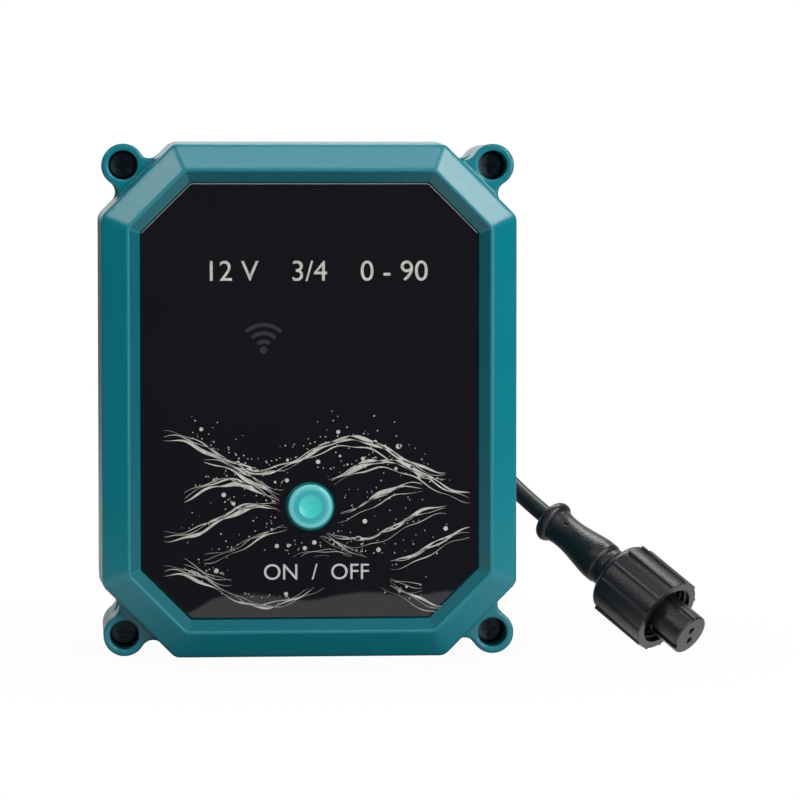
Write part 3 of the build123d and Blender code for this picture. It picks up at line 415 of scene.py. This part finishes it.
def innerThread(name, look):
    # one ridge wound along the wall of a bore, fading in and out over half a turn
    axis = Vector(look["axis"]).normalized()
    side = axis.orthogonal().normalized()
    other = axis.cross(side)
    shape = bmesh.new()
    steps = int((look["end"] - look["start"]) / look["pitch"] * look["perTurn"])
    previous = None
    for i in range(steps + 1):
        turn = 2 * math.pi * i / look["perTurn"]
        along = look["start"] + look["pitch"] * i / look["perTurn"]
        depth = look["height"] * min(1.0, 2 * i / look["perTurn"], 2 * (steps - i) / look["perTurn"])
        outward = side * math.cos(turn) + other * math.sin(turn)
        ring = []
        for shift, share in look["profile"]:
            reach = look["radius"] + look["sink"] - share * (depth + look["sink"])
            place = axis * (along + shift * look["pitch"]) + outward * reach
            ring.append(shape.verts.new(Vector(look["origin"]) * mm + place * mm))
        if previous:
            for j in range(4):
                shape.faces.new((previous[j], previous[(j + 1) % 4], ring[(j + 1) % 4], ring[j]))
        else:
            shape.faces.new(ring)
        previous = ring
    shape.faces.new(list(reversed(previous)))
    bmesh.ops.recalc_face_normals(shape, faces=shape.faces)
    mesh = bpy.data.meshes.new(name)
    shape.to_mesh(mesh)
    shape.free()
    mesh.materials.append(made[look["material"]])
    piece = bpy.data.objects.new(name, mesh)
    scene.collection.objects.link(piece)
    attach(piece, look["body"])


# round ridge in the nut, and the finer pipe thread in both ports of the valve
pipeThread = {"axis": (0, 0, 1), "radius": 12.06, "pitch": 1.814, "height": 0.5, "sink": 0.1, "perTurn": 64,
              "profile": ((-0.46, 0), (-0.12, 1), (0.12, 1), (0.46, 0)), "material": "glassFilledNylon",
              "body": "housing", "slot": "valve_nylon"}
threads = {
    "nutThread": {"axis": (0.624, -0.574, -0.529), "origin": (63.84, -4.52, 32.4), "radius": 8.0,
                  "start": 31.0, "end": 43.0, "pitch": 1.6, "height": 0.55, "sink": 0.02, "perTurn": 48,
                  "profile": ((-0.34, 0), (-0.1, 1), (0.1, 1), (0.34, 0)), "material": "sparkGrainNylon",
                  "body": "connector_nut", "slot": "connector_nylon"},
    "lowerPortThread": {**pipeThread, "origin": (0, 24, 30.75), "start": 1.2, "end": 14.0},
    "upperPortThread": {**pipeThread, "origin": (0, 24, 83.25), "start": 1.2, "end": 14.0},
}
for name, look in threads.items():
    innerThread(name, look)
print(len(threads), "threads")

# smooth shading on the CAD meshes, kept crisp at their real edges
sharpDegrees = 28
for part in nodes.values():
    part.data.set_sharp_from_angle(angle=math.radians(sharpDegrees))

# pale floor and backdrop, plain studio light; distances on the floor in metres from the object's middle
ground = {"roughness": 0.8, "shade": (0.05, 0.15, 0.97), "paintedFloorShade": (0.05, 0.13, "#606060", "#b0b0b0"),
          "gloss": (0.05, 0.09), "glossAside": (0.16, 0.3), "glossAhead": (0.0, 0.1), "size": 3}
stage = bpy.data.materials.new("whiteStage")
stage.use_nodes = True
tree = stage.node_tree
paper = tree.nodes["Principled BSDF"]
paper.inputs["Roughness"].default_value = ground["roughness"]
# seen by the camera the paper is white, and near the object it also takes a soft shadow
spot = addNode(tree, "ShaderNodeTexCoord")
reach = addNode(tree, "ShaderNodeVectorMath", {"operation": "LENGTH"}, {0: (spot, "Object")})
fade = addNode(tree, "ShaderNodeMapRange", {"From Min": ground["shade"][0], "From Max": ground["shade"][1],
                                            "To Min": ground["shade"][2]}, {"Value": (reach, "Value")})
# its colour is painted darker under the object: painted shade, where little light gets in
clear = addNode(tree, "ShaderNodeMapRange", {"From Min": ground["paintedFloorShade"][0], "From Max": ground["paintedFloorShade"][1]},
                {"Value": (reach, "Value")})
paintedFloorShade = addNode(tree, "ShaderNodeMix", {"data_type": "RGBA"}, {0: (clear, 0)})
paintedFloorShade.inputs[6].default_value = srgb(ground["paintedFloorShade"][2])
paintedFloorShade.inputs[7].default_value = srgb(ground["paintedFloorShade"][3])
tree.links.new(paintedFloorShade.outputs[2], paper.inputs["Base Color"])
far = addNode(tree, "ShaderNodeMapRange", {"From Min": ground["gloss"][0], "From Max": ground["gloss"][1]},
              {"Value": (reach, "Value")})
path = addNode(tree, "ShaderNodeLightPath")
direct = addNode(tree, "ShaderNodeMath", {"operation": "MULTIPLY"},
                 {0: (fade, 0), 1: (path, "Is Camera Ray")})
# in the object's gloss only a strip of the paper in front shows white, its sides are in the dim room
apart = addNode(tree, "ShaderNodeSeparateXYZ", None, {0: (spot, "Object")})
aside = addNode(tree, "ShaderNodeMath", {"operation": "ABSOLUTE"}, {0: (apart, "X")})
fading = {"To Min": 1.0, "To Max": 0.0}
strip = addNode(tree, "ShaderNodeMapRange", {"From Min": ground["glossAside"][0],
                                             "From Max": ground["glossAside"][1], **fading},
                {"Value": (aside, 0)})
ahead = addNode(tree, "ShaderNodeMapRange", {"From Min": ground["glossAhead"][0],
                                             "From Max": ground["glossAhead"][1], **fading},
                {"Value": (apart, "Y")})
inFront = addNode(tree, "ShaderNodeMath", {"operation": "MULTIPLY"}, {0: (ahead, 0), 1: (strip, 0)})
bright = addNode(tree, "ShaderNodeMath", {"operation": "MULTIPLY"}, {0: (far, 0), 1: (inFront, 0)})
mirror = addNode(tree, "ShaderNodeMath", {"operation": "MULTIPLY"},
                 {0: (bright, 0), 1: (path, "Is Glossy Ray")})
share = addNode(tree, "ShaderNodeMath", {"operation": "MAXIMUM"}, {0: (direct, 0), 1: (mirror, 0)})
white = addNode(tree, "ShaderNodeEmission", {"Strength": 1.0})
mix = addNode(tree, "ShaderNodeMixShader", None, {0: (share, 0), 1: (paper, 0), 2: (white, 0)})
tree.links.new(mix.outputs[0], tree.nodes["Material Output"].inputs["Surface"])
floorMesh = bpy.data.meshes.new("floor")
# the paper ends a hand's breadth in front of the object, with a slightly wavy edge
paperEdge = {"front": -0.205, "half": 0.4, "waves": ((0.008, 0.031, 0.0), (0.006, 0.071, 1.0)),
             "steps": 240, "cut": 0.06, "cutAt": -0.024, "cutWidth": 0.0025, "steepest": 50}
edge = []
for i in range(paperEdge["steps"] + 1):
    x = paperEdge["half"] * (2 * i / paperEdge["steps"] - 1)
    swing = sum(size * math.sin(2 * math.pi * x / length + shift)
                for size, length, shift in paperEdge["waves"])
    pastCut = (x - paperEdge["cutAt"]) / paperEdge["cutWidth"]
    cut = paperEdge["cut"] / (1 + math.exp(min(paperEdge["steepest"], pastCut)))
    edge.append((x, paperEdge["front"] + swing + cut, 0))
size = ground["size"]
corners = [(size, paperEdge["front"], 0), (size, size, 0), (-size, size, 0), (-size, paperEdge["front"], 0)]
floorMesh.from_pydata(edge + corners, [], [tuple(range(len(edge) + len(corners)))])
floor = bpy.data.objects.new("floor", floorMesh)
scene.collection.objects.link(floor)
floorMesh.materials.append(stage)

# the room is white behind the object and dim on the camera's side
room = {"behind": 0.12, "front": 0.02, "overhead": 0.15, "horizon": 0.75, "ambient": 0.2,
        "turning": (-0.6, 0.3), "overheadFrom": (0.3, 0.9), "horizonUpTo": 0.1, "backFrom": (0.5, 0.9)}
world = bpy.data.worlds.new("studio")
scene.world = world
world.use_nodes = True
tree = world.node_tree
sky = tree.nodes["Background"]
sky.inputs[0].default_value = srgb("#ffffff")
path = addNode(tree, "ShaderNodeLightPath")
heading = addNode(tree, "ShaderNodeTexCoord")
parts = addNode(tree, "ShaderNodeSeparateXYZ", None, {0: (heading, "Generated")})
mirrored = addNode(tree, "ShaderNodeMapRange", {"From Min": room["turning"][0], "From Max": room["turning"][1],
                                                "To Min": room["front"], "To Max": room["behind"]},
                   {"Value": (parts, "Y")})
above = addNode(tree, "ShaderNodeMapRange", {"From Min": room["overheadFrom"][0],
                                             "From Max": room["overheadFrom"][1], "To Max": room["overhead"]},
                {"Value": (parts, "Z")})
low = addNode(tree, "ShaderNodeMapRange", {"From Max": room["horizonUpTo"], "To Max": room["horizon"]},
              {"Value": (parts, "Z")})
back = addNode(tree, "ShaderNodeMapRange", {"From Min": room["backFrom"][0], "From Max": room["backFrom"][1]},
               {"Value": (parts, "Y")})
glow = addNode(tree, "ShaderNodeMath", {"operation": "MULTIPLY"}, {0: (low, 0), 1: (back, 0)})
upper = addNode(tree, "ShaderNodeMath", {"operation": "MAXIMUM"}, {0: (glow, 0), 1: (above, 0)})
both = addNode(tree, "ShaderNodeMath", {"operation": "ADD"}, {0: (mirrored, 0), 1: (upper, 0)})
lit = addNode(tree, "ShaderNodeMix", {"data_type": "FLOAT", "A": room["ambient"]},
              {"Factor": (path, "Is Glossy Ray"), "B": (both, 0)})
seen = addNode(tree, "ShaderNodeMath", {"operation": "MAXIMUM"},
               {0: (path, "Is Camera Ray"), 1: (path, "Is Transmission Ray")})
level = addNode(tree, "ShaderNodeMix", {"data_type": "FLOAT", "B": 1.0}, {"Factor": (seen, 0), "A": (lit, 0)})
tree.links.new(level.outputs[0], sky.inputs[1])

# the camera stands where the photo was taken from
view = {"turn": -4.4, "rise": 2.9, "distance": 1.0422, "aim": (0.0225, -0.039, 0.0649),
        "focalPx": 4175, "framePx": 800, "sensorMm": 36}


def softLamp(name, place, aim, size, power):
    lamp = bpy.data.lights.new(name, "AREA")
    lamp.shape = "RECTANGLE"
    lamp.size, lamp.size_y = size
    lamp.energy = power
    item = bpy.data.objects.new(name, lamp)
    scene.collection.objects.link(item)
    item.location = place
    item.rotation_euler = (Vector(aim) - Vector(place)).to_track_quat("-Z", "Y").to_euler()


# direction from the object, size and radiant power of each softbox, all at the same distance
lampReach = 0.9
lamps = {
    "upperRightBox": ((0.60, -0.53, 0.60), (0.30, 0.30), 2.7),
    "upperLeftBox": ((-0.60, -0.53, 0.60), (0.24, 0.24), 0.85),
    "rightBox": ((0.45, -0.85, 0.20), (0.2, 0.5), 3.1),
    "topBox": ((0.0, -0.57, 0.82), (0.5, 0.2), 1.2),
    "overheadBox": ((0.1, 0.45, 0.9), (0.7, 0.25), 5.0),
}
for name, (heading, size, power) in lamps.items():
    aim = Vector(view["aim"])
    softLamp(name, aim + Vector(heading).normalized() * lampReach, aim, size, power)

turn, rise = math.radians(view["turn"]), math.radians(view["rise"])
outward = Vector((math.sin(turn) * math.cos(rise), -math.cos(turn) * math.cos(rise), math.sin(rise)))
eye = bpy.data.cameras.new("camera")
eye.sensor_width = view["sensorMm"]
eye.lens = view["focalPx"] / view["framePx"] * eye.sensor_width
camera = bpy.data.objects.new("camera", eye)
scene.collection.objects.link(camera)
camera.location = Vector(view["aim"]) + outward * view["distance"]
camera.rotation_euler = (-outward).to_track_quat("-Z", "Y").to_euler()
scene.camera = camera
scene.view_settings.view_transform = "Standard"
print("stage, lamps and camera")
